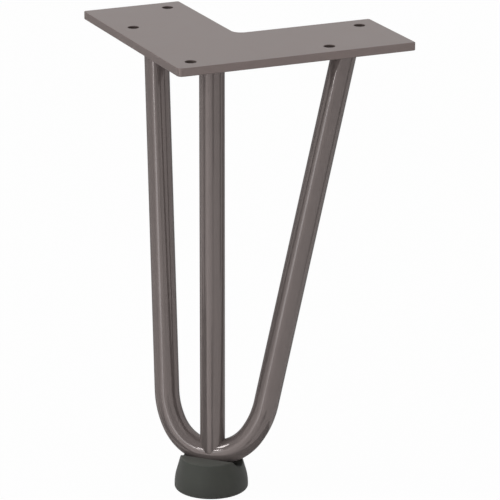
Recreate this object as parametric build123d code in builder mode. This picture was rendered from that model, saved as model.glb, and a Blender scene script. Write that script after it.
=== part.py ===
from build123d import *
import os
from math import acos, atan2, cos, degrees, hypot, radians, sin, sqrt, tan

# Hairpin table leg, in millimetres, +Z up.
# The origin is on the plate's top face, straight above the lowest point of the bend.
# X and Y run along the two arms of the L-shaped plate.

# Mounting plate: an L of flat steel
plate_span = 120.0           # length of each outer edge of the L
plate_arm_width = 50.0
plate_thickness = 4.0
plate_corner_radius = 2.5    # outer corner of the L
plate_end_radius = 1.2       # corners at the two free ends
plate_inner_radius = 5.0     # inside corner of the L
plate_edge_break = 0.4       # softened edges of both faces

# Screw holes, measured from the plate's edges
hole_diameter = 5.2
hole_margin = 10.0           # hole centre to the nearest edges
hole_pitch = 70.0            # corner hole to the next hole along each outer edge

# Rods, with insets measured from the plate's outer edges
rod_diameter = 12.0
steel_height = 206.0         # plate's top face to the underside of the bend
bend_inset = 26.4            # lowest point of the bend, from both outer edges
arm_inset_far = 98.0         # top of a hairpin arm, along its own arm of the L
arm_inset_near = 28.8        # top of a hairpin arm, across its own arm of the L
bend_radius = 23.6           # bottom arc of the bend, at the rod's centre line
bend_reach = 58.0            # angle that the bottom arc runs up each side
bend_side_radius = 40.0      # wider arc between the bottom arc and each arm
straight_top_inset = 28.5    # top of the straight rod, from both outer edges
straight_foot_shift = 0.75   # its lower end along the bend, from the lowest point
saddle_lip = 1.2             # its thin saddle tips end this far above the bend's centre line

# Welds between the rods and the plate
weld_leg = 2.5

# Foot: a moulded glide under the bend
foot_floor = 11.7            # from the underside of the bend to the ground
foot_wall_diameter = 35.6
foot_rim_step = 3.2          # how much smaller the rim's radius is than the wall's
foot_rim_drop = 1.45         # top of the foot below the bend's centre line
foot_skirt_height = 5.0      # upright wall, up to where the flare would meet it
foot_shoulder_radius = 21.0  # curve between the upright wall and the flare
foot_least_wall = 0.3        # upright wall that is kept above the bottom edge
foot_edge_break = 0.9        # bottom edge
foot_rim_break = 0.5         # top edge
groove_clearance = 0.15      # between the rod and the groove it sits in
groove_arch_radius = 130.0   # the groove rises a little towards its ends

# Places that several pieces share
rod_radius = rod_diameter / 2
plate_underside = Plane.XY.offset(-plate_thickness)
outer_edge = -bend_inset
inner_edge = outer_edge + plate_arm_width
end_edge = outer_edge + plate_span
bend_low = Vector(0, 0, rod_radius - steel_height)
across_hairpin = Vector(1, -1, 0).normalized()


def nearest_vertex(sketch, place):
    return sketch.vertices().sort_by_distance(place)[0]


# Mounting plate
hole_corner = outer_edge + hole_margin
hole_along = hole_corner + hole_pitch
hole_inner = inner_edge - hole_margin
hole_end = end_edge - hole_margin
hole_places = [
    (hole_corner, hole_corner),
    (hole_along, hole_corner),
    (hole_corner, hole_along),
    (hole_end, hole_inner),
    (hole_inner, hole_end),
]

with BuildPart() as mounting_plate:
    with BuildSketch() as plate_outline:
        with BuildLine():
            Polyline(
                (outer_edge, outer_edge),
                (end_edge, outer_edge),
                (end_edge, inner_edge),
                (inner_edge, inner_edge),
                (inner_edge, end_edge),
                (outer_edge, end_edge),
                close=True,
            )
        make_face()
        fillet(nearest_vertex(plate_outline, (outer_edge, outer_edge)), plate_corner_radius)
        fillet(nearest_vertex(plate_outline, (inner_edge, inner_edge)), plate_inner_radius)
        free_ends = plate_outline.vertices().filter_by(lambda v: max(v.X, v.Y) > end_edge - plate_end_radius)
        fillet(free_ends, plate_end_radius)
    extrude(amount=-plate_thickness)
    chamfer(mounting_plate.faces().filter_by(Axis.Z).edges(), plate_edge_break)
    with Locations(*hole_places):
        Hole(hole_diameter / 2)

mounting_plate.part.label = "mounting_plate"


# Hairpin rod: drawn in the leaning plane that holds both arms, with its lowest point at (0, 0)
arm_far = arm_inset_far - bend_inset
arm_near = arm_inset_near - bend_inset
arms_middle = Vector((arm_far + arm_near) / 2, (arm_far + arm_near) / 2, -plate_thickness)
hairpin_lean = arms_middle - bend_low
hairpin_plane = Plane(origin=bend_low, x_dir=across_hairpin, z_dir=across_hairpin.cross(hairpin_lean))

# Each side arc carries on from the bottom arc, and each arm leaves its side arc at a tangent
arm_top = ((arm_far - arm_near) / sqrt(2), hairpin_lean.length)
reach = radians(bend_reach)
radius_step = bend_side_radius - bend_radius
side_centre = (-radius_step * sin(reach), bend_radius + radius_step * cos(reach))
centre_to_top = (arm_top[0] - side_centre[0], arm_top[1] - side_centre[1])
leave_angle = atan2(centre_to_top[1], centre_to_top[0]) - acos(bend_side_radius / hypot(*centre_to_top))
side_arc_size = 90 - bend_reach + degrees(leave_angle)
arm_start = (
    side_centre[0] + bend_side_radius * cos(leave_angle),
    side_centre[1] + bend_side_radius * sin(leave_angle),
)
arm_end = (
    arm_top[0] - rod_diameter * sin(leave_angle),
    arm_top[1] + rod_diameter * cos(leave_angle),
)

with BuildPart() as hairpin_rod:
    with BuildLine(hairpin_plane) as hairpin_path:
        CenterArc((0, bend_radius), bend_radius, -90 - bend_reach, 2 * bend_reach)
        side_arc = CenterArc(side_centre, bend_side_radius, bend_reach - 90, side_arc_size)
        arm_line = Line(arm_start, arm_end)
        mirror([side_arc, arm_line], about=Plane(origin=bend_low, z_dir=across_hairpin))
    hairpin_wire = hairpin_path.wire()
    with BuildSketch(Plane(origin=hairpin_wire @ 0, z_dir=hairpin_wire % 0)):
        Circle(rod_radius)
    sweep(path=hairpin_wire)
    split(bisect_by=plate_underside, keep=Keep.BOTTOM)

hairpin_rod.part.label = "hairpin_rod"


# Straight rod: its lower end is cut to a saddle that sits on the bend
straight_top = Vector(straight_top_inset - bend_inset, straight_top_inset - bend_inset, -plate_thickness)
straight_foot = bend_low + across_hairpin * straight_foot_shift
straight_run = straight_top - straight_foot

with BuildPart() as straight_rod:
    with BuildSketch(Plane(origin=straight_foot, z_dir=straight_run).offset(saddle_lip)):
        Circle(rod_radius)
    extrude(amount=straight_run.length)
    split(bisect_by=plate_underside, keep=Keep.BOTTOM)
    add(hairpin_rod.part, mode=Mode.SUBTRACT)

straight_rod.part.label = "straight_rod"


# Welds: the corner between each rod and the plate is filled, then the plate and the rods are taken away
rod_tops = [
    Vector(arm_far, arm_near, -plate_thickness),
    Vector(arm_near, arm_far, -plate_thickness),
    straight_top,
]

with BuildPart() as plate_welds:
    add(mounting_plate.part)
    add(hairpin_rod.part)
    add(straight_rod.part)
    round_edges = plate_welds.edges().filter_by(GeomType.LINE, reverse=True)
    weld_roots = [round_edges.sort_by_distance(top)[0] for top in rod_tops]
    chamfer(weld_roots, weld_leg)
    split(bisect_by=plate_underside, keep=Keep.BOTTOM)
    add(hairpin_rod.part, mode=Mode.SUBTRACT)
    add(straight_rod.part, mode=Mode.SUBTRACT)

plate_welds.part.label = "plate_welds"


# Foot: a turned profile with a round groove across its top
foot_bottom = -steel_height - foot_floor
foot_top = bend_low.Z - foot_rim_drop
wall_radius = foot_wall_diameter / 2
rim_radius = wall_radius - foot_rim_step
skirt_top = foot_bottom + foot_skirt_height
flare_angle = atan2(foot_rim_step, foot_top - skirt_top)
shoulder_room = foot_skirt_height - foot_edge_break - foot_least_wall
shoulder_radius = min(foot_shoulder_radius, shoulder_room / tan(flare_angle / 2))
groove_plane = Plane(origin=bend_low, x_dir=across_hairpin, z_dir=across_hairpin.cross(Vector(0, 0, 1)))
groove_reach = degrees(foot_wall_diameter / groove_arch_radius)

with BuildPart() as foot:
    with BuildSketch(Plane.XZ) as foot_profile:
        with BuildLine():
            Polyline(
                (0, foot_bottom),
                (wall_radius, foot_bottom),
                (wall_radius, skirt_top),
                (rim_radius, foot_top),
                (0, foot_top),
                close=True,
            )
        make_face()
        chamfer(nearest_vertex(foot_profile, (rim_radius, foot_top)), foot_rim_break)
        chamfer(nearest_vertex(foot_profile, (wall_radius, foot_bottom)), foot_edge_break)
        fillet(nearest_vertex(foot_profile, (wall_radius, skirt_top)), shoulder_radius)
    revolve(axis=Axis.Z)
    with BuildLine(groove_plane) as groove_path:
        CenterArc((0, groove_arch_radius), groove_arch_radius, -90 - groove_reach, 2 * groove_reach)
    groove_wire = groove_path.wire()
    with BuildSketch(Plane(origin=groove_wire @ 0, z_dir=groove_wire % 0)):
        Circle(rod_radius + groove_clearance)
    sweep(path=groove_wire, mode=Mode.SUBTRACT)

foot.part.label = "foot"


os.makedirs("parts", exist_ok=True)
export_step(mounting_plate.part, "parts/mounting_plate.step")
export_step(hairpin_rod.part, "parts/hairpin_rod.step")
export_step(straight_rod.part, "parts/straight_rod.step")
export_step(plate_welds.part, "parts/plate_welds.step")
export_step(foot.part, "parts/foot.step")
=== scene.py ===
"""Hairpin table leg: an L-shaped screw plate, a bent hairpin rod, a straight rod and a glide foot."""

from math import acos, atan2, cos, pi, radians, sin, tan

import bmesh
import bpy
from bpy.props import FloatProperty, FloatVectorProperty, IntProperty, PointerProperty
from mathutils import Matrix, Vector
from mathutils.bvhtree import BVHTree


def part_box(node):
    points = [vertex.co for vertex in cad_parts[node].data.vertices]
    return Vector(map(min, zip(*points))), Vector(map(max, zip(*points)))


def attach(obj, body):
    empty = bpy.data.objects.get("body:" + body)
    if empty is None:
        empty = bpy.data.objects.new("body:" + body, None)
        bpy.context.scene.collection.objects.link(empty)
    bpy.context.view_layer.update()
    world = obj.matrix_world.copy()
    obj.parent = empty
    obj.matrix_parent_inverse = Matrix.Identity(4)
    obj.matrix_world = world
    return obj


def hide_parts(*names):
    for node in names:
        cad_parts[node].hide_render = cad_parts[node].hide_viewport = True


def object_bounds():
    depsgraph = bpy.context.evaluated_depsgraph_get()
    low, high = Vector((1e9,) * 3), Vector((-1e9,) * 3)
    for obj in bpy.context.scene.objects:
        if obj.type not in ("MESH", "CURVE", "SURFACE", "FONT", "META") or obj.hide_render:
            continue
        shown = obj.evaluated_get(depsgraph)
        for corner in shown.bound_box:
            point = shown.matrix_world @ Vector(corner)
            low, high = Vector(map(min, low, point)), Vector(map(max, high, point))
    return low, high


bl_info = {
    "name": "Hairpin Table Leg",
    "version": (1, 0, 0),
    "blender": (4, 5, 0),
    "location": "View3D > Sidebar > Table Leg",
    "description": "Builds a welded hairpin table leg with its screw plate, rods and glide foot",
    "category": "Add Mesh",
}

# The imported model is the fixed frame: the plate, the rods and the foot take their reach from it
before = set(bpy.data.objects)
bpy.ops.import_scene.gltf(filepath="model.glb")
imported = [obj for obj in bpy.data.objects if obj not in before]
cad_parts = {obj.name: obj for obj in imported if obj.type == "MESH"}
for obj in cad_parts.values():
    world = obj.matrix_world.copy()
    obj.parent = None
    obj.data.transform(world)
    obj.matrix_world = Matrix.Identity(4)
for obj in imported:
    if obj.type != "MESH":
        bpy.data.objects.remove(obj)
cad_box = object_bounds()
plate_low, plate_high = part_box("mounting_plate")
hairpin_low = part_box("hairpin_rod")[0]
foot_low, foot_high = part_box("foot")
across_hairpin = Vector((1, -1, 0)).normalized()


# Settings

class LEG_PG_plate(bpy.types.PropertyGroup):
    """Sizes of the L-shaped plate that is screwed under the table"""

    arm_width: FloatProperty(
        name="Arm Width",
        description="Width of each arm of the L",
        default=0.05,
        unit="LENGTH",
    )
    corner_radius: FloatProperty(
        name="Corner Radius",
        description="Rounding of the outer corner of the L",
        default=0.0025,
        unit="LENGTH",
    )
    end_radius: FloatProperty(
        name="End Radius",
        description="Rounding of the corners at the two free ends",
        default=0.0012,
        unit="LENGTH",
    )
    inner_radius: FloatProperty(
        name="Inner Radius",
        description="Rounding of the inside corner of the L",
        default=0.005,
        unit="LENGTH",
    )
    edge_round: FloatProperty(
        name="Edge Round",
        description="Softening of the edges of both faces",
        default=0.0004,
        unit="LENGTH",
    )
    hole_diameter: FloatProperty(
        name="Hole Diameter",
        description="Diameter of the five screw holes",
        default=0.0052,
        unit="LENGTH",
    )
    hole_margin: FloatProperty(
        name="Hole Margin",
        description="Distance from a hole's centre to the nearest edges",
        default=0.01,
        unit="LENGTH",
    )
    hole_pitch: FloatProperty(
        name="Hole Pitch",
        description="Distance from the corner hole to the next hole along each outer edge",
        default=0.07,
        unit="LENGTH",
    )


class LEG_PG_rods(bpy.types.PropertyGroup):
    """Sizes of the two rods and of the welds at their tops"""

    diameter: FloatProperty(
        name="Rod Diameter",
        description="Diameter of the hairpin rod and of the straight rod",
        default=0.012,
        unit="LENGTH",
    )
    arm_far: FloatProperty(
        name="Arm Top Along",
        description="Top of a hairpin arm along its own arm of the L, from the origin",
        default=0.0716,
        unit="LENGTH",
    )
    arm_near: FloatProperty(
        name="Arm Top Across",
        description="Top of a hairpin arm across its own arm of the L, from the origin",
        default=0.0024,
        unit="LENGTH",
    )
    bend_radius: FloatProperty(
        name="Bend Radius",
        description="Radius of the bottom arc of the bend, at the rod's centre line",
        default=0.0236,
        unit="LENGTH",
    )
    bend_reach: FloatProperty(
        name="Bend Reach",
        description="Angle that the bottom arc runs up each side",
        default=radians(58),
        subtype="ANGLE",
    )
    side_radius: FloatProperty(
        name="Side Radius",
        description="Radius of the wider arc between the bottom arc and each arm",
        default=0.04,
        unit="LENGTH",
    )
    straight_inset: FloatProperty(
        name="Straight Rod Top",
        description="Top of the straight rod along both arms of the L, from the origin",
        default=0.0021,
        unit="LENGTH",
    )
    straight_shift: FloatProperty(
        name="Straight Rod Shift",
        description="Lower end of the straight rod along the bend, from its lowest point",
        default=0.00075,
        unit="LENGTH",
    )
    saddle_lip: FloatProperty(
        name="Saddle Lip",
        description="Height above the bend's centre line at which the saddle's thin tips end",
        default=0.0012,
        unit="LENGTH",
    )
    weld_leg: FloatProperty(
        name="Weld Leg",
        description="Width of the weld bead on the rod and on the plate",
        default=0.0025,
        unit="LENGTH",
    )
    weld_ripples: IntProperty(
        name="Weld Ripples",
        description="Number of ripples round each weld bead",
        default=28,
    )
    sides: IntProperty(
        name="Sides",
        description="Number of sides of the round rods",
        default=96,
    )


class LEG_PG_foot(bpy.types.PropertyGroup):
    """Sizes of the moulded glide under the bend"""

    rim_step: FloatProperty(
        name="Rim Step",
        description="How much smaller the radius of the rim is than that of the wall",
        default=0.0032,
        unit="LENGTH",
    )
    skirt_height: FloatProperty(
        name="Skirt Height",
        description="Upright wall, up to where the flare would meet it",
        default=0.005,
        unit="LENGTH",
    )
    shoulder_radius: FloatProperty(
        name="Shoulder Radius",
        description="Curve between the upright wall and the flare",
        default=0.021,
        unit="LENGTH",
    )
    edge_round: FloatProperty(
        name="Bottom Round",
        description="Rounding of the bottom edge",
        default=0.001,
        unit="LENGTH",
    )
    rim_round: FloatProperty(
        name="Rim Round",
        description="Rounding of the top edge",
        default=0.0005,
        unit="LENGTH",
    )
    lip_round: FloatProperty(
        name="Lip Round",
        description="Softening of the groove's lips",
        default=0.00015,
        unit="LENGTH",
    )
    groove_clearance: FloatProperty(
        name="Groove Clearance",
        description="Gap between the bend and the groove that it sits in",
        default=0.00015,
        unit="LENGTH",
    )
    groove_arch: FloatProperty(
        name="Groove Arch",
        description="Radius along which the groove rises towards its ends",
        default=0.13,
        unit="LENGTH",
    )


class LEG_PG_finish(bpy.types.PropertyGroup):
    """Colours and gloss of the lacquered steel and of the plastic foot"""

    lacquer: FloatVectorProperty(
        name="Lacquer",
        description="Colour of the warm grey lacquer",
        default=(0.229, 0.195, 0.187),
        subtype="COLOR",
    )
    # The plate's colour is the rods' lacquer made lighter and warmer: painted light that brightens the
    # plate's top
    plate_lacquer_painted_light: FloatVectorProperty(
        name="Plate Lacquer",
        description="Colour of the plate's slightly lighter and warmer lacquer",
        default=(0.258, 0.21, 0.199),
        subtype="COLOR",
    )
    # Bore walls: darker steel colour together with painted shade for the shade inside the holes
    bore_and_shade: FloatVectorProperty(
        name="Bores",
        description="Colour of the dark walls of the drilled screw holes",
        default=(0.13, 0.103, 0.096),
        subtype="COLOR",
    )
    flake: FloatProperty(
        name="Metal Flake",
        description="Share of metal flake in the lacquer",
        default=0.3,
        subtype="FACTOR",
    )
    rod_roughness: FloatProperty(
        name="Rod Roughness",
        description="Roughness of the glossy lacquer on the rods",
        default=0.06,
        subtype="FACTOR",
    )
    plate_roughness: FloatProperty(
        name="Plate Roughness",
        description="Roughness of the satin lacquer on the plate",
        default=0.3,
        subtype="FACTOR",
    )
    plastic: FloatVectorProperty(
        name="Plastic",
        description="Colour of the foot's matt plastic",
        default=(0.07, 0.072, 0.063),
        subtype="COLOR",
    )
    plastic_roughness: FloatProperty(
        name="Plastic Roughness",
        description="Roughness of the foot's matt plastic",
        default=0.55,
        subtype="FACTOR",
    )


class LEG_PG_stage(bpy.types.PropertyGroup):
    """Camera, lamps and surrounding light"""

    camera_place: FloatVectorProperty(
        name="Camera Place",
        description="Where the camera stands",
        default=(-0.5449, -1.2748, 0.3599),
        subtype="TRANSLATION",
        unit="LENGTH",
    )
    camera_turn: FloatVectorProperty(
        name="Camera Turn",
        description="How the camera is turned",
        default=(radians(71.738), 0, radians(-23.918)),
        subtype="EULER",
    )
    camera_lens: FloatProperty(
        name="Focal Length",
        description="Focal length in millimetres on a 36 mm sensor",
        default=222.55,
        unit="CAMERA",
    )
    surround_light: FloatProperty(
        name="Surround Light",
        description="Strength of the even light from all sides",
        default=0.08,
    )
    overhead_light: FloatProperty(
        name="Overhead Light",
        description="Power of the wide lamp above the plate, in watts",
        default=14.6,
        unit="POWER",
    )
    side_light: FloatProperty(
        name="Side Light",
        description="Power of the lamp on the left, in watts",
        default=6.0,
        unit="POWER",
    )
    front_light: FloatProperty(
        name="Front Light",
        description="Power of the wide lamp beside the camera, in watts",
        default=5.6,
        unit="POWER",
    )
    back_light: FloatProperty(
        name="Back Light",
        description="Power of the low, wide lamp behind the leg, in watts",
        default=6.0,
        unit="POWER",
    )


# Materials

# Spread of the roughness about its middle, and strength of the relief
gloss_spread = 0.15
relief_strength = 0.25

# Depth of the relief in metres, under the glossy and under the satin lacquer
gloss_relief = 0.000001
satin_relief = 0.00004


def add_node(tree, kind, place, **values):
    """Adds a node and sets its properties."""
    node = tree.nodes.new(kind)
    node.location = place
    for name, value in values.items():
        setattr(node, name, value)
    return node


def surface_grain():
    """Node group with a fine grain and a slow mottle, both from 0 to 1."""
    name = "surface_grain"
    if name in bpy.data.node_groups:
        return bpy.data.node_groups[name]
    group = bpy.data.node_groups.new(name, "ShaderNodeTree")
    for label, value in (("Grain Scale", 1500.0), ("Mottle Scale", 60.0)):
        socket = group.interface.new_socket(label, in_out="INPUT", socket_type="NodeSocketFloat")
        socket.default_value = value
    for label in ("Grain", "Mottle"):
        group.interface.new_socket(label, in_out="OUTPUT", socket_type="NodeSocketFloat")
    start = add_node(group, "NodeGroupInput", (-600, 0))
    end = add_node(group, "NodeGroupOutput", (200, 0))
    place = add_node(group, "ShaderNodeTexCoord", (-600, -200))
    for label, detail, height in (("Grain", 2.0, 150), ("Mottle", 4.0, -150)):
        noise = add_node(group, "ShaderNodeTexNoise", (-200, height))
        noise.inputs["Detail"].default_value = detail
        group.links.new(place.outputs["Object"], noise.inputs["Vector"])
        group.links.new(start.outputs[label + " Scale"], noise.inputs["Scale"])
        group.links.new(noise.outputs["Fac"], end.inputs[label])
    return group


def grained_material(name, colour, roughness, grain_scale, mottle_scale, relief, spread):
    """Principled material whose colour, roughness and relief follow the surface grain."""
    material = bpy.data.materials.new(name)
    material.use_nodes = True
    tree = material.node_tree
    shader = tree.nodes["Principled BSDF"]
    grain = add_node(tree, "ShaderNodeGroup", (-900, 0), node_tree=surface_grain())
    grain.inputs["Grain Scale"].default_value = grain_scale
    grain.inputs["Mottle Scale"].default_value = mottle_scale
    tint = add_node(tree, "ShaderNodeMix", (-500, 200), data_type="RGBA")
    tint.inputs["A"].default_value = (*[channel * (1 - spread) for channel in colour], 1)
    tint.inputs["B"].default_value = (*[channel * (1 + spread) for channel in colour], 1)
    gloss = add_node(tree, "ShaderNodeMapRange", (-500, -100))
    gloss.inputs["To Min"].default_value = roughness * (1 - gloss_spread)
    gloss.inputs["To Max"].default_value = roughness * (1 + gloss_spread)
    bump = add_node(tree, "ShaderNodeBump", (-500, -400))
    bump.inputs["Strength"].default_value = relief_strength
    bump.inputs["Distance"].default_value = relief
    tree.links.new(grain.outputs["Mottle"], tint.inputs["Factor"])
    tree.links.new(grain.outputs["Mottle"], gloss.inputs["Value"])
    tree.links.new(grain.outputs["Grain"], bump.inputs["Height"])
    tree.links.new(tint.outputs["Result"], shader.inputs["Base Color"])
    tree.links.new(gloss.outputs["Result"], shader.inputs["Roughness"])
    tree.links.new(bump.outputs["Normal"], shader.inputs["Normal"])
    return material


def lacquer(name, colour, flake, roughness, relief):
    """Grey lacquer with metal flake."""
    if name in bpy.data.materials:
        return bpy.data.materials[name]
    material = grained_material(
        name,
        colour,
        roughness,
        grain_scale=1800,
        mottle_scale=70,
        relief=relief,
        spread=0.05,
    )
    shader = material.node_tree.nodes["Principled BSDF"]
    shader.inputs["Metallic"].default_value = flake
    shader.inputs["Specular IOR Level"].default_value = 0.05
    return material


def rod_lacquer(finish):
    """Glossy lacquer of the rods and welds."""
    return lacquer("rod_lacquer", finish.lacquer, finish.flake, finish.rod_roughness, gloss_relief)


def plate_lacquer_painted_light(finish):
    """Satin lacquer of the plate, its colour the rods' lacquer made lighter and warmer as painted light on
    the plate.
    """
    return lacquer("plate_lacquer_painted_light", finish.plate_lacquer_painted_light, finish.flake, finish.plate_roughness, satin_relief)


def bore_lacquer_and_shade(finish):
    """Dark walls of the drilled holes: partly the bare steel's own darker colour, partly painted shade
    inside the holes.
    """
    return lacquer("bore_lacquer_and_shade", finish.bore_and_shade, finish.flake, finish.plate_roughness, satin_relief)


def foot_plastic(finish):
    """Matt moulded plastic of the foot, with painted light that lightens its top face and painted shade that
    darkens its bottom edge.
    """
    material = grained_material(
        "foot_plastic",
        finish.plastic,
        finish.plastic_roughness,
        grain_scale=1400,
        mottle_scale=90,
        relief=0.00008,
        spread=0.06,
    )
    tree = material.node_tree
    shader = tree.nodes["Principled BSDF"]
    shader.inputs["Specular IOR Level"].default_value = 0.2
    shader.inputs["Sheen Weight"].default_value = 0.15
    shader.inputs["Sheen Roughness"].default_value = 0.5
    colour = shader.inputs["Base Color"].links[0].from_socket
    place = add_node(tree, "ShaderNodeTexCoord", (-900, 600))
    split = add_node(tree, "ShaderNodeSeparateXYZ", (-700, 600))
    tree.links.new(place.outputs["Object"], split.inputs["Vector"])
    # Heights between which the colour changes, and its brightness below and above them: painted light makes
    # the top face lighter, painted shade makes the bottom edge darker
    painted_top_light = (foot_high.z - 0.0006, foot_high.z - 0.0001, 1.0, 1.5)
    # Painted shade: the bottom edge is darkened where the floor shades it
    painted_bottom_shade = (foot_low.z + 0.0002, foot_low.z + 0.0008, 0.5, 1.0)
    for row, (start, end, below, above) in ((600, painted_top_light), (900, painted_bottom_shade)):
        share = add_node(tree, "ShaderNodeMapRange", (-500, row))
        share.inputs["From Min"].default_value = start
        share.inputs["From Max"].default_value = end
        share.inputs["To Min"].default_value = below
        share.inputs["To Max"].default_value = above
        shade = add_node(tree, "ShaderNodeVectorMath", (-300, row), operation="SCALE")
        tree.links.new(split.outputs["Z"], share.inputs["Value"])
        tree.links.new(share.outputs["Result"], shade.inputs["Scale"])
        tree.links.new(colour, shade.inputs[0])
        colour = shade.outputs["Vector"]
    tree.links.new(colour, shader.inputs["Base Color"])
    return material


# Shared modelling steps

# Edges that turn more than this stay sharp, and points closer than this become one
sharp_angle = radians(40)
merge_distance = 1e-6

# Steps round an outline's corners
corner_steps = 10


def link_mesh(bm, name):
    """Makes an object of a bmesh."""
    mesh = bpy.data.meshes.new(name)
    bm.to_mesh(mesh)
    bm.free()
    item = bpy.data.objects.new(name, mesh)
    bpy.context.scene.collection.objects.link(item)
    return item


def finish_piece(bm, name, node, material):
    """Makes a smooth-shaded piece that rides on the root body and stands for one CAD node."""
    bmesh.ops.recalc_face_normals(bm, faces=bm.faces[:])
    piece = link_mesh(bm, name)
    smooth(piece.data)
    piece.data.materials.append(material)
    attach(piece, "root")
    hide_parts(node)
    return piece


def smooth(mesh):
    """Shades a mesh smooth, apart from its sharp edges."""
    mesh.shade_smooth()
    mesh.set_sharp_from_angle(angle=sharp_angle)


def keep_flats_flat(piece):
    """Lets the large faces rule the normals, so that soft edges don't shade them."""
    weigh = piece.modifiers.new("Weighted Normal", "WEIGHTED_NORMAL")
    weigh.mode = "FACE_AREA"
    weigh.keep_sharp = True


def of_type(items, kind):
    """Picks the vertices, edges or faces out of what an operator returned."""
    return [item for item in items if isinstance(item, kind)]


def facing(place, direction):
    """Matrix that puts a flat shape at a place with its normal along a direction."""
    return Matrix.Translation(place) @ Vector(direction).to_track_quat("Z", "Y").to_matrix().to_4x4()


def rounded_outline(bm, corners, to_point):
    """Closed outline of corners (x, y, rounding), where rounding is how far it starts along the edges."""
    verts = [bm.verts.new(to_point(x, y)) for x, y, rounding in corners]
    bm.faces.new(verts)
    for vert, (x, y, rounding) in zip(verts, corners):
        if rounding > 0:
            bmesh.ops.bevel(
                bm,
                geom=[vert],
                offset=rounding,
                affect="VERTICES",
                segments=corner_steps,
                profile=0.5,
                material=-1,
            )
    bmesh.ops.delete(bm, geom=bm.faces[:], context="FACES_ONLY")


def ring_across(bm, radius, sides, place, direction):
    """Open circle of edges across a direction."""
    made = bmesh.ops.create_circle(bm, segments=sides, radius=radius, matrix=facing(place, direction))
    return list({edge for vert in made["verts"] for edge in vert.link_edges})


def draw_out(bm, ring, move):
    """Draws a ring of edges out along a vector and returns the new ring."""
    made = bmesh.ops.extrude_edge_only(bm, edges=ring)["geom"]
    bmesh.ops.translate(bm, vec=move, verts=of_type(made, bmesh.types.BMVert))
    return [edge for edge in of_type(made, bmesh.types.BMEdge) if len(edge.link_faces) == 1]


def bend_round(bm, ring, centre, axis, angle, steps):
    """Bends a ring of edges round an axis and returns the new ring."""
    made = bmesh.ops.spin(bm, geom=ring, cent=centre, axis=axis, angle=angle, steps=steps)
    return of_type(made["geom_last"], bmesh.types.BMEdge)


def trim_at_plate(bm):
    """Cuts rods off at the plate's underside and closes them there."""
    cut = bmesh.ops.bisect_plane(
        bm,
        geom=bm.verts[:] + bm.edges[:] + bm.faces[:],
        plane_co=(0, 0, plate_low.z),
        plane_no=(0, 0, 1),
        clear_outer=True,
    )["geom_cut"]
    bmesh.ops.edgeloop_fill(bm, edges=of_type(cut, bmesh.types.BMEdge))


# Rods

# Steps along the bend's side arcs and bottom arc, and rings across the saddle
side_steps = 16
bottom_steps = 72
saddle_rings = 8

# Depth of a weld bead's root inside the rod, in metres
weld_root = 0.0003

# Cuts across the bead's face, and steps round each of its ripples
weld_cuts = 7
ripple_steps = 8

# Swell of the face and height of the ripples, as shares of the weld leg
weld_swell = 0.1
ripple_height = 0.05

# How far a ripple curves back in the middle of the face, where its whole length is 2 pi
ripple_curve = 1.6

# Share of the face along each of its edges that stays straight
weld_margin = 0.01


def bend_low(rods):
    """Lowest point of the bend's centre line."""
    return Vector((0, 0, hairpin_low.z + rods.diameter / 2))


class HairpinPlan:
    """The hairpin's route in its leaning plane: x across it and y up between its arms."""

    def __init__(self, rods):
        self.low = bend_low(rods)
        middle = (rods.arm_far + rods.arm_near) / 2
        lean = Vector((middle, middle, plate_low.z)) - self.low
        self.up = lean.normalized()
        self.normal = across_hairpin.cross(self.up)
        step = rods.side_radius - rods.bend_radius
        self.side = Vector((-step * sin(rods.bend_reach), rods.bend_radius + step * cos(rods.bend_reach)))
        top = Vector(((rods.arm_far - rods.arm_near) / 2**0.5, lean.length)) - self.side
        leave = atan2(top.y, top.x) - acos(rods.side_radius / top.length)
        self.side_angle = pi / 2 - rods.bend_reach + leave
        self.arm_start = self.side + rods.side_radius * Vector((cos(leave), sin(leave)))
        self.arm_length = (top.length**2 - rods.side_radius**2) ** 0.5
        self.arm_lean = leave

    def point(self, x, y):
        """A point of the plane in the frame of the leg."""
        return self.low + across_hairpin * x + self.up * y

    def climb(self, side):
        """Direction up the arm on one side, 1 or -1."""
        return self.up * cos(self.arm_lean) - across_hairpin * side * sin(self.arm_lean)


def hairpin_bmesh(rods):
    """Bends the hairpin from one rod: arm, side arc, bottom arc, side arc, arm."""
    plan = HairpinPlan(rods)
    length = plan.arm_length + rods.diameter
    bm = bmesh.new()
    top = plan.point(*plan.arm_start) + plan.climb(1) * length
    ring = ring_across(bm, rods.diameter / 2, rods.sides, top, plan.climb(1))
    ring = draw_out(bm, ring, plan.climb(1) * -length)
    for x, y, angle, steps in (
        (plan.side.x, plan.side.y, plan.side_angle, side_steps),
        (0, rods.bend_radius, 2 * rods.bend_reach, bottom_steps),
        (-plan.side.x, plan.side.y, plan.side_angle, side_steps),
    ):
        ring = bend_round(bm, ring, plan.point(x, y), plan.normal, -angle, steps)
    draw_out(bm, ring, plan.climb(-1) * length)
    trim_at_plate(bm)
    bmesh.ops.recalc_face_normals(bm, faces=bm.faces[:])
    return bm


def straight_ends(rods):
    """Top of the straight rod under the plate, and its lower end at the bend's centre line."""
    top = Vector((rods.straight_inset, rods.straight_inset, plate_low.z))
    foot = bend_low(rods) + across_hairpin * rods.straight_shift
    return top, foot


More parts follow.
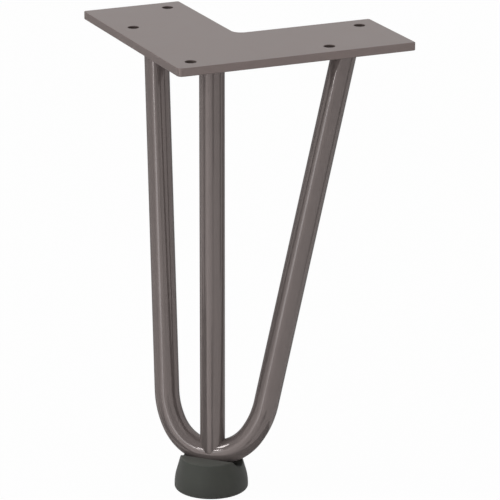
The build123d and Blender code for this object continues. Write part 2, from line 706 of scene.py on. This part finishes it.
def weld_bead(rods):
    """Rippled ring of weld round an upright rod, under a plate at height 0."""
    radius = rods.diameter / 2
    leg = rods.weld_leg
    inside = radius - weld_root
    bm = bmesh.new()
    section = ((inside, 0), (radius + leg, 0), (radius, -leg), (inside, -leg))
    verts = [bm.verts.new((x, 0, z)) for x, z in section]
    edges = [bm.edges.new((verts[step - 1], verts[step])) for step in range(4)]
    bmesh.ops.subdivide_edges(bm, edges=[edges[2]], cuts=weld_cuts)
    bmesh.ops.spin(
        bm,
        geom=bm.verts[:] + bm.edges[:],
        cent=(0, 0, 0),
        axis=(0, 0, 1),
        angle=2 * pi,
        steps=ripple_steps * rods.weld_ripples,
        use_merge=True,
    )
    outward = Vector((1, -1)).normalized()
    for vert in bm.verts:
        reach = vert.co.xy.length
        share = -vert.co.z / leg
        if reach > radius - weld_root / 2 and weld_margin < share < 1 - weld_margin:
            turn = atan2(vert.co.y, vert.co.x)
            crown = sin(pi * share)
            ripple = cos(rods.weld_ripples * turn + ripple_curve * crown)
            rise = leg * (weld_swell + ripple_height * ripple) * crown
            vert.co.xy *= (reach + outward.x * rise) / reach
            vert.co.z += outward.y * rise
    return bm


def along_rod(climb):
    """Matrix that leans an upright shape along a rod and keeps level sections level."""
    lean = Vector((climb.x, climb.y, 0))
    matrix = Matrix.Identity(4)
    if lean.length > 0:
        matrix = Matrix.Scale(1 / climb.z, 4, lean.normalized())
    shear = Matrix.Identity(4)
    shear[0][2] = climb.x / climb.z
    shear[1][2] = climb.y / climb.z
    return shear @ matrix


# Stage

# Width of the camera's sensor in millimetres
sensor_width = 36

# In metres: the lamps' distance, half the floor's width, and the gap under the foot
lamp_distance = 1.6
floor_reach = 4
floor_gap = 0.0001

# Colour of the floor's paper, and the share of the floor's own glow in what the camera sees
floor_paper = (0.95, 0.95, 0.95, 1)
floor_glow = 0.974

# Reflected panels: degrees left of the camera, elevation, width and height in degrees,
# distance in metres, and brightness at the right and at the left end
panels = {
    "left_glow": (27, -2.7, 52, 39.5, 2.0, 1.0, 1.7),
    "left_glow_foot": (30, -29, 46, 13, 2.0, 0.8, 0.8),
    "key_strip": (38, 11.5, 13, 8, 1.8, 3.0, 3.0),
    "key_strip_low": (35.5, 4.75, 8, 5.5, 1.8, 2.8, 2.8),
    "key_strip_top": (40.5, 25.5, 4, 11, 1.8, 9.0, 9.0),
    "key_strip_end": (38, 17.5, 3, 4, 1.8, 9.0, 9.0),
    "low_spark": (49, 24.5, 5, 6, 1.8, 13.0, 13.0),
    "high_strip": (73, 39, 15.5, 10.5, 1.8, 10.0, 10.0),
    "upper_left": (50, 44, 110, 44, 2.2, 0.65, 0.65),
    "left_side": (92, -5, 60, 26, 2.0, 0.75, 0.75),
    "left_gap": (74, -14, 11, 10, 1.9, 0.0, 0.0),
    "left_low": (80, -26, 50, 15, 1.9, 0.02, 0.02),
    "front_gap": (5, -23.5, 12, 10, 1.9, 0.3, 0.3),
    "front_gap_top": (-9.5, -10.2, 15, 6.5, 1.9, 0.35, 0.35),
    "front_gap_middle": (-6, -17, 17, 7, 1.9, 0.75, 0.75),
    "right_gap": (-79, -13.5, 14, 9, 1.9, 0.3, 0.3),
    "back_left": (155, -15, 60, 50, 2.1, 0.4, 0.4),
    "back_right": (-152, -15, 55, 50, 2.1, 0.5, 0.5),
    "over": (0, 90, 60, 60, 2.3, 0.6, 0.6),
    "under": (0, -90, 100, 100, 2.3, 0.2, 0.2),
}

# Panels brighter than this are strips, a little cooler than the pale cards
strip_brightness = 2
plain_white = (1, 1, 1, 1)
cool_white = (0.95, 1.02, 1.05, 1)


def cleared_nodes(owner):
    """Clears an owner's nodes and returns its tree."""
    owner.use_nodes = True
    owner.node_tree.nodes.clear()
    return owner.node_tree


def white_world(strength):
    """World that is white to the camera and in reflections, and lights the leg evenly at a strength."""
    world = bpy.data.worlds.new("studio")
    tree = cleared_nodes(world)
    rays = add_node(tree, "ShaderNodeLightPath", (-800, 200))
    seen = add_node(tree, "ShaderNodeMath", (-600, 200), operation="MAXIMUM")
    shown = add_node(tree, "ShaderNodeMath", (-400, 200), operation="MAXIMUM")
    soft = add_node(tree, "ShaderNodeBackground", (-400, 0))
    soft.inputs["Color"].default_value = plain_white
    soft.inputs["Strength"].default_value = strength
    white = add_node(tree, "ShaderNodeBackground", (-400, -150))
    white.inputs["Color"].default_value = plain_white
    white.inputs["Strength"].default_value = 1
    mix = add_node(tree, "ShaderNodeMixShader", (-100, 100))
    out = add_node(tree, "ShaderNodeOutputWorld", (100, 100))
    tree.links.new(rays.outputs["Is Camera Ray"], seen.inputs[0])
    tree.links.new(rays.outputs["Is Glossy Ray"], seen.inputs[1])
    tree.links.new(seen.outputs["Value"], shown.inputs[0])
    tree.links.new(rays.outputs["Is Transmission Ray"], shown.inputs[1])
    tree.links.new(shown.outputs["Value"], mix.inputs["Fac"])
    tree.links.new(soft.outputs["Background"], mix.inputs[1])
    tree.links.new(white.outputs["Background"], mix.inputs[2])
    tree.links.new(mix.outputs["Shader"], out.inputs["Surface"])
    return world


def white_floor():
    """White paper, clear from below, whose own glow for the camera leaves the leg a faint shadow."""
    material = bpy.data.materials.new("floor_white")
    tree = cleared_nodes(material)
    rays = add_node(tree, "ShaderNodeLightPath", (-600, 200))
    share = add_node(tree, "ShaderNodeMath", (-400, 200), operation="MULTIPLY")
    share.inputs[1].default_value = floor_glow
    paper = add_node(tree, "ShaderNodeBsdfDiffuse", (-400, 0))
    paper.inputs["Color"].default_value = floor_paper
    glow = add_node(tree, "ShaderNodeEmission", (-400, -150))
    mix = add_node(tree, "ShaderNodeMixShader", (-100, 100))
    face = add_node(tree, "ShaderNodeNewGeometry", (-100, 350))
    clear = add_node(tree, "ShaderNodeBsdfTransparent", (-100, -50))
    sides = add_node(tree, "ShaderNodeMixShader", (150, 100))
    out = add_node(tree, "ShaderNodeOutputMaterial", (350, 100))
    tree.links.new(rays.outputs["Is Camera Ray"], share.inputs[0])
    tree.links.new(share.outputs["Value"], mix.inputs["Fac"])
    tree.links.new(paper.outputs["BSDF"], mix.inputs[1])
    tree.links.new(glow.outputs["Emission"], mix.inputs[2])
    tree.links.new(face.outputs["Backfacing"], sides.inputs["Fac"])
    tree.links.new(mix.outputs["Shader"], sides.inputs[1])
    tree.links.new(clear.outputs["BSDF"], sides.inputs[2])
    tree.links.new(sides.outputs["Shader"], out.inputs["Surface"])
    return material


def panel_material(name, half_width, right, left):
    """Light that changes evenly from a panel's right end to its left end."""
    material = bpy.data.materials.new(name)
    tree = cleared_nodes(material)
    place = add_node(tree, "ShaderNodeTexCoord", (-800, 0))
    split = add_node(tree, "ShaderNodeSeparateXYZ", (-600, 0))
    fade = add_node(tree, "ShaderNodeMapRange", (-400, 0))
    fade.inputs["From Min"].default_value = -half_width
    fade.inputs["From Max"].default_value = half_width
    fade.inputs["To Min"].default_value = right
    fade.inputs["To Max"].default_value = left
    glow = add_node(tree, "ShaderNodeEmission", (-200, 0))
    glow.inputs["Color"].default_value = cool_white if right > strip_brightness else plain_white
    out = add_node(tree, "ShaderNodeOutputMaterial", (0, 0))
    tree.links.new(place.outputs["Object"], split.inputs["Vector"])
    tree.links.new(split.outputs["X"], fade.inputs["Value"])
    tree.links.new(fade.outputs["Result"], glow.inputs["Strength"])
    tree.links.new(glow.outputs["Emission"], out.inputs["Surface"])
    return material


def towards(camera_side, azimuth, elevation):
    """Direction given in degrees left of the camera and in degrees above level."""
    turn = camera_side - radians(azimuth)
    rise = radians(elevation)
    return Vector((cos(rise) * cos(turn), cos(rise) * sin(turn), sin(rise)))


def add_panel(name, camera_side, middle, azimuth, elevation, width, height, distance, right, left):
    """Panel round the leg that shows only in its reflections."""
    direction = towards(camera_side, azimuth, elevation)
    half_width = distance * tan(radians(width) / 2)
    half_height = distance * tan(radians(height) / 2)
    bm = bmesh.new()
    bmesh.ops.create_grid(bm, x_segments=1, y_segments=1, size=1)
    bmesh.ops.scale(bm, vec=(half_width, half_height, 1), verts=bm.verts[:])
    panel = link_mesh(bm, name)
    panel.data.materials.append(panel_material(name, half_width, right, left))
    panel.matrix_world = facing(middle + direction * distance, -direction)
    panel.visible_camera = False
    panel.visible_diffuse = False
    panel.visible_shadow = False
    panel.visible_transmission = False


def add_lamp(name, place, size, power, aim):
    """Square lamp that lights the leg but doesn't show in its reflections."""
    data = bpy.data.lights.new(name, "AREA")
    data.size = size
    data.energy = power
    lamp = bpy.data.objects.new(name, data)
    lamp.matrix_world = facing(place, place - aim)
    lamp.visible_glossy = False
    bpy.context.scene.collection.objects.link(lamp)


# Operators

# Plate: sides of a screw hole, and steps across the edges that turn by more than the angle
hole_sides = 64
edge_steps = 3
edge_angle = radians(60)

# Foot: sides, the turn up to which faces count as one flat, and steps along the groove and its lips
foot_sides = 140
flat_angle = radians(0.5)
groove_steps = 32
lip_steps = 2


class LEG_OT_mounting_plate(bpy.types.Operator):
    """Build the L-shaped screw plate with rounded corners, soft edges and five holes"""

    bl_idname = "leg.mounting_plate"
    bl_label = "Mounting Plate"

    def execute(self, context):
        plate = context.scene.leg_plate
        outer = plate_low.x
        end = plate_high.x
        inner = outer + plate.arm_width
        corners = (
            (outer, outer, plate.corner_radius),
            (end, outer, plate.end_radius),
            (end, inner, plate.end_radius),
            (inner, inner, plate.inner_radius),
            (inner, end, plate.end_radius),
            (outer, end, plate.end_radius),
        )
        bm = bmesh.new()
        rounded_outline(bm, corners, lambda x, y: (x, y, 0))
        first = outer + plate.hole_margin
        along = first + plate.hole_pitch
        near = inner - plate.hole_margin
        far = end - plate.hole_margin
        places = ((first, first), (along, first), (first, along), (far, near), (near, far))
        holes = [Vector(place) for place in places]
        for hole in holes:
            ring_across(bm, plate.hole_diameter / 2, hole_sides, hole.to_3d(), (0, 0, 1))
        bmesh.ops.triangle_fill(bm, edges=bm.edges[:], use_beauty=True, use_dissolve=True, normal=(0, 0, 1))
        made = bmesh.ops.extrude_face_region(bm, geom=bm.faces[:])["geom"]
        bmesh.ops.translate(bm, vec=(0, 0, plate_low.z), verts=of_type(made, bmesh.types.BMVert))
        bmesh.ops.recalc_face_normals(bm, faces=bm.faces[:])
        bmesh.ops.bevel(
            bm,
            geom=[edge for edge in bm.edges if edge.calc_face_angle(0) > edge_angle],
            offset=plate.edge_round,
            affect="EDGES",
            segments=edge_steps,
            profile=0.5,
            material=-1,
        )
        finish = context.scene.leg_finish
        bore_reach = plate.hole_diameter / 2 + plate.edge_round / 2
        # Hole walls get the dark bore material, which holds painted shade of the holes
        for face in bm.faces:
            place = face.calc_center_median().xy
            in_hole = min((place - hole).length for hole in holes) < bore_reach
            face.material_index = int(in_hole)
        # The plate's lacquer carries painted light: it is a lighter copy of the rods' lacquer
        piece = finish_piece(bm, "plate_body", "mounting_plate", plate_lacquer_painted_light(finish))
        piece.data.materials.append(bore_lacquer_and_shade(finish))
        keep_flats_flat(piece)
        return {"FINISHED"}


class LEG_OT_hairpin_rod(bpy.types.Operator):
    """Bend the hairpin from one round rod and trim its two ends under the plate"""

    bl_idname = "leg.hairpin_rod"
    bl_label = "Hairpin Rod"

    def execute(self, context):
        bm = hairpin_bmesh(context.scene.leg_rods)
        material = rod_lacquer(context.scene.leg_finish)
        finish_piece(bm, "hairpin_body", "hairpin_rod", material)
        return {"FINISHED"}


class LEG_OT_straight_rod(bpy.types.Operator):
    """Draw the straight rod and seat its saddle on the bend"""

    bl_idname = "leg.straight_rod"
    bl_label = "Straight Rod"

    def execute(self, context):
        rods = context.scene.leg_rods
        top, foot = straight_ends(rods)
        climb = (top - foot).normalized()
        lip = foot + climb * rods.saddle_lip
        length = (top - lip).length + rods.diameter / 2
        bm = bmesh.new()
        ring = ring_across(bm, rods.diameter / 2, rods.sides, lip + climb * length, climb)
        ring = draw_out(bm, ring, -climb * length)
        saddle = {vert for edge in ring for vert in edge.verts}
        for share in range(saddle_rings - 1, -1, -1):
            ring = draw_out(bm, ring, (0, 0, 0))
            inner = {vert for edge in ring for vert in edge.verts}
            for vert in inner:
                vert.co = lip + (vert.co - lip) * share / (share + 1)
            saddle |= inner
        bend = hairpin_bmesh(rods)
        bend_surface = BVHTree.FromBMesh(bend)
        bend.free()
        seats = 0
        for vert in saddle:
            seat = bend_surface.ray_cast(vert.co + climb * rods.diameter, -climb, rods.diameter)[0]
            if seat is not None:
                vert.co = seat
                seats += 1
        if not seats:
            raise RuntimeError("The straight rod misses the bend that its saddle sits on")
        bmesh.ops.remove_doubles(bm, verts=list(inner), dist=merge_distance)
        trim_at_plate(bm)
        material = rod_lacquer(context.scene.leg_finish)
        finish_piece(bm, "straight_body", "straight_rod", material)
        return {"FINISHED"}


class LEG_OT_plate_welds(bpy.types.Operator):
    """Run a rippled weld bead round the top of each rod"""

    bl_idname = "leg.plate_welds"
    bl_label = "Plate Welds"

    def execute(self, context):
        rods = context.scene.leg_rods
        plan = HairpinPlan(rods)
        top, foot = straight_ends(rods)
        bm = bmesh.new()
        for place, climb in (
            (Vector((rods.arm_far, rods.arm_near, plate_low.z)), plan.climb(1)),
            (Vector((rods.arm_near, rods.arm_far, plate_low.z)), plan.climb(-1)),
            (top, (top - foot).normalized()),
        ):
            bead = weld_bead(rods)
            seat = Matrix.Translation(place) @ along_rod(climb)
            bmesh.ops.transform(bead, matrix=seat, verts=bead.verts[:])
            mesh = bpy.data.meshes.new("bead")
            bead.to_mesh(mesh)
            bead.free()
            bm.from_mesh(mesh)
            bpy.data.meshes.remove(mesh)
        material = rod_lacquer(context.scene.leg_finish)
        finish_piece(bm, "weld_beads", "plate_welds", material)
        return {"FINISHED"}


class LEG_OT_foot(bpy.types.Operator):
    """Turn the glide foot and cut the round groove for the bend across its top"""

    bl_idname = "leg.foot"
    bl_label = "Foot"

    def execute(self, context):
        foot = context.scene.leg_foot
        wall = foot_high.x
        skirt = foot_low.z + foot.skirt_height
        flare = atan2(foot.rim_step, foot_high.z - skirt)
        corners = (
            (0, foot_low.z, 0),
            (wall, foot_low.z, foot.edge_round),
            (wall, skirt, foot.shoulder_radius * tan(flare / 2)),
            (wall - foot.rim_step, foot_high.z, foot.rim_round),
            (0, foot_high.z, 0),
        )
        bm = bmesh.new()
        rounded_outline(bm, corners, lambda x, y: (x, 0, y))
        axis = [edge for edge in bm.edges if max(vert.co.x for vert in edge.verts) < merge_distance]
        bmesh.ops.delete(bm, geom=axis, context="EDGES")
        bmesh.ops.spin(
            bm,
            geom=bm.verts[:] + bm.edges[:],
            cent=(0, 0, 0),
            axis=(0, 0, 1),
            angle=2 * pi,
            steps=foot_sides,
            use_merge=True,
        )
        bmesh.ops.remove_doubles(bm, verts=bm.verts[:], dist=merge_distance)
        bmesh.ops.dissolve_limit(bm, angle_limit=flat_angle, verts=bm.verts[:], edges=bm.edges[:])
        material = foot_plastic(context.scene.leg_finish)
        piece = finish_piece(bm, "foot_body", "foot", material)
        groove = self.groove(context.scene.leg_rods, foot)
        cut = piece.modifiers.new("Groove", "BOOLEAN")
        cut.operation = "DIFFERENCE"
        cut.solver = "EXACT"
        cut.object = groove
        soften = piece.modifiers.new("Soft Lips", "BEVEL")
        soften.width = foot.lip_round
        soften.segments = lip_steps
        soften.limit_method = "ANGLE"
        soften.angle_limit = sharp_angle
        solid = bpy.data.meshes.new_from_object(piece.evaluated_get(context.evaluated_depsgraph_get()))
        if len(solid.polygons) <= len(piece.data.polygons):
            raise RuntimeError("The groove misses the foot")
        piece.modifiers.clear()
        piece.data = solid
        smooth(solid)
        keep_flats_flat(piece)
        bpy.data.objects.remove(groove)
        return {"FINISHED"}

    def groove(self, rods, foot):
        """Round bar, arched a little, that stands for the groove to be cut."""
        low = bend_low(rods)
        axis = across_hairpin.cross(Vector((0, 0, 1)))
        centre = low + Vector((0, 0, foot.groove_arch))
        reach = 2 * foot_high.x / foot.groove_arch
        bm = bmesh.new()
        ring = ring_across(bm, rods.diameter / 2 + foot.groove_clearance, rods.sides, low, across_hairpin)
        verts = list({vert for edge in ring for vert in edge.verts})
        bmesh.ops.rotate(bm, cent=centre, matrix=Matrix.Rotation(-reach, 3, axis), verts=verts)
        far_ring = bend_round(bm, ring, centre, axis, 2 * reach, groove_steps)
        bmesh.ops.edgeloop_fill(bm, edges=far_ring)
        bmesh.ops.edgeloop_fill(bm, edges=ring)
        bmesh.ops.recalc_face_normals(bm, faces=bm.faces[:])
        return link_mesh(bm, "foot_groove")


class LEG_OT_stage(bpy.types.Operator):
    """Set up the camera, the white floor, the lamps and the panels that the rods reflect"""

    bl_idname = "leg.stage"
    bl_label = "Stage"

    def execute(self, context):
        scene = context.scene
        stage = scene.leg_stage
        scene.view_settings.view_transform = "Standard"
        scene.world = white_world(stage.surround_light)

        data = bpy.data.cameras.new("camera")
        data.lens = stage.camera_lens
        data.sensor_width = sensor_width
        camera = bpy.data.objects.new("camera", data)
        camera.location = stage.camera_place
        camera.rotation_euler = stage.camera_turn
        scene.collection.objects.link(camera)
        scene.camera = camera

        bm = bmesh.new()
        bmesh.ops.create_grid(bm, x_segments=1, y_segments=1, size=floor_reach)
        bmesh.ops.translate(bm, vec=(0, 0, foot_low.z - floor_gap), verts=bm.verts[:])
        floor = link_mesh(bm, "floor")
        floor.data.materials.append(white_floor())
        floor.visible_glossy = False

        middle = (cad_box[0] + cad_box[1]) / 2
        camera_side = atan2(camera.location.y - middle.y, camera.location.x - middle.x)
        for name, power, size, azimuth, elevation in (
            ("overhead_lamp", stage.overhead_light, 2.4, 0, 90),
            ("left_lamp", stage.side_light, 0.8, 85, 28),
            ("front_lamp", stage.front_light, 1.2, 15, 15),
            ("back_lamp", stage.back_light, 1.2, 190, 6),
        ):
            place = middle + towards(camera_side, azimuth, elevation) * lamp_distance
            add_lamp(name, place, size, power, middle)
        for name, values in panels.items():
            add_panel(name, camera_side, middle, *values)
        return {"FINISHED"}


class LEG_PT_sidebar(bpy.types.Panel):
    """Lists the steps that build the leg and their settings"""

    bl_label = "Hairpin Table Leg"
    bl_idname = "LEG_PT_sidebar"
    bl_space_type = "VIEW_3D"
    bl_region_type = "UI"
    bl_category = "Table Leg"

    def draw(self, context):
        for step in steps:
            self.layout.operator(step.bl_idname)
        for name in settings:
            box = self.layout.box()
            group = getattr(context.scene, name)
            for key in group.bl_rna.properties.keys():
                if key not in ("rna_type", "name"):
                    box.prop(group, key)


settings = {
    "leg_plate": LEG_PG_plate,
    "leg_rods": LEG_PG_rods,
    "leg_foot": LEG_PG_foot,
    "leg_finish": LEG_PG_finish,
    "leg_stage": LEG_PG_stage,
}
steps = (
    LEG_OT_mounting_plate,
    LEG_OT_hairpin_rod,
    LEG_OT_straight_rod,
    LEG_OT_plate_welds,
    LEG_OT_foot,
    LEG_OT_stage,
)


def register():
    for name, group in settings.items():
        bpy.utils.register_class(group)
        setattr(bpy.types.Scene, name, PointerProperty(type=group))
    for step in steps:
        bpy.utils.register_class(step)
    bpy.utils.register_class(LEG_PT_sidebar)


def unregister():
    bpy.utils.unregister_class(LEG_PT_sidebar)
    for step in reversed(steps):
        bpy.utils.unregister_class(step)
    for name, group in reversed(settings.items()):
        delattr(bpy.types.Scene, name)
        bpy.utils.unregister_class(group)


def main():
    register()
    bpy.ops.leg.mounting_plate()
    bpy.ops.leg.hairpin_rod()
    bpy.ops.leg.straight_rod()
    bpy.ops.leg.plate_welds()
    bpy.ops.leg.foot()
    bpy.ops.leg.stage()


if __name__ == "__main__":
    main()
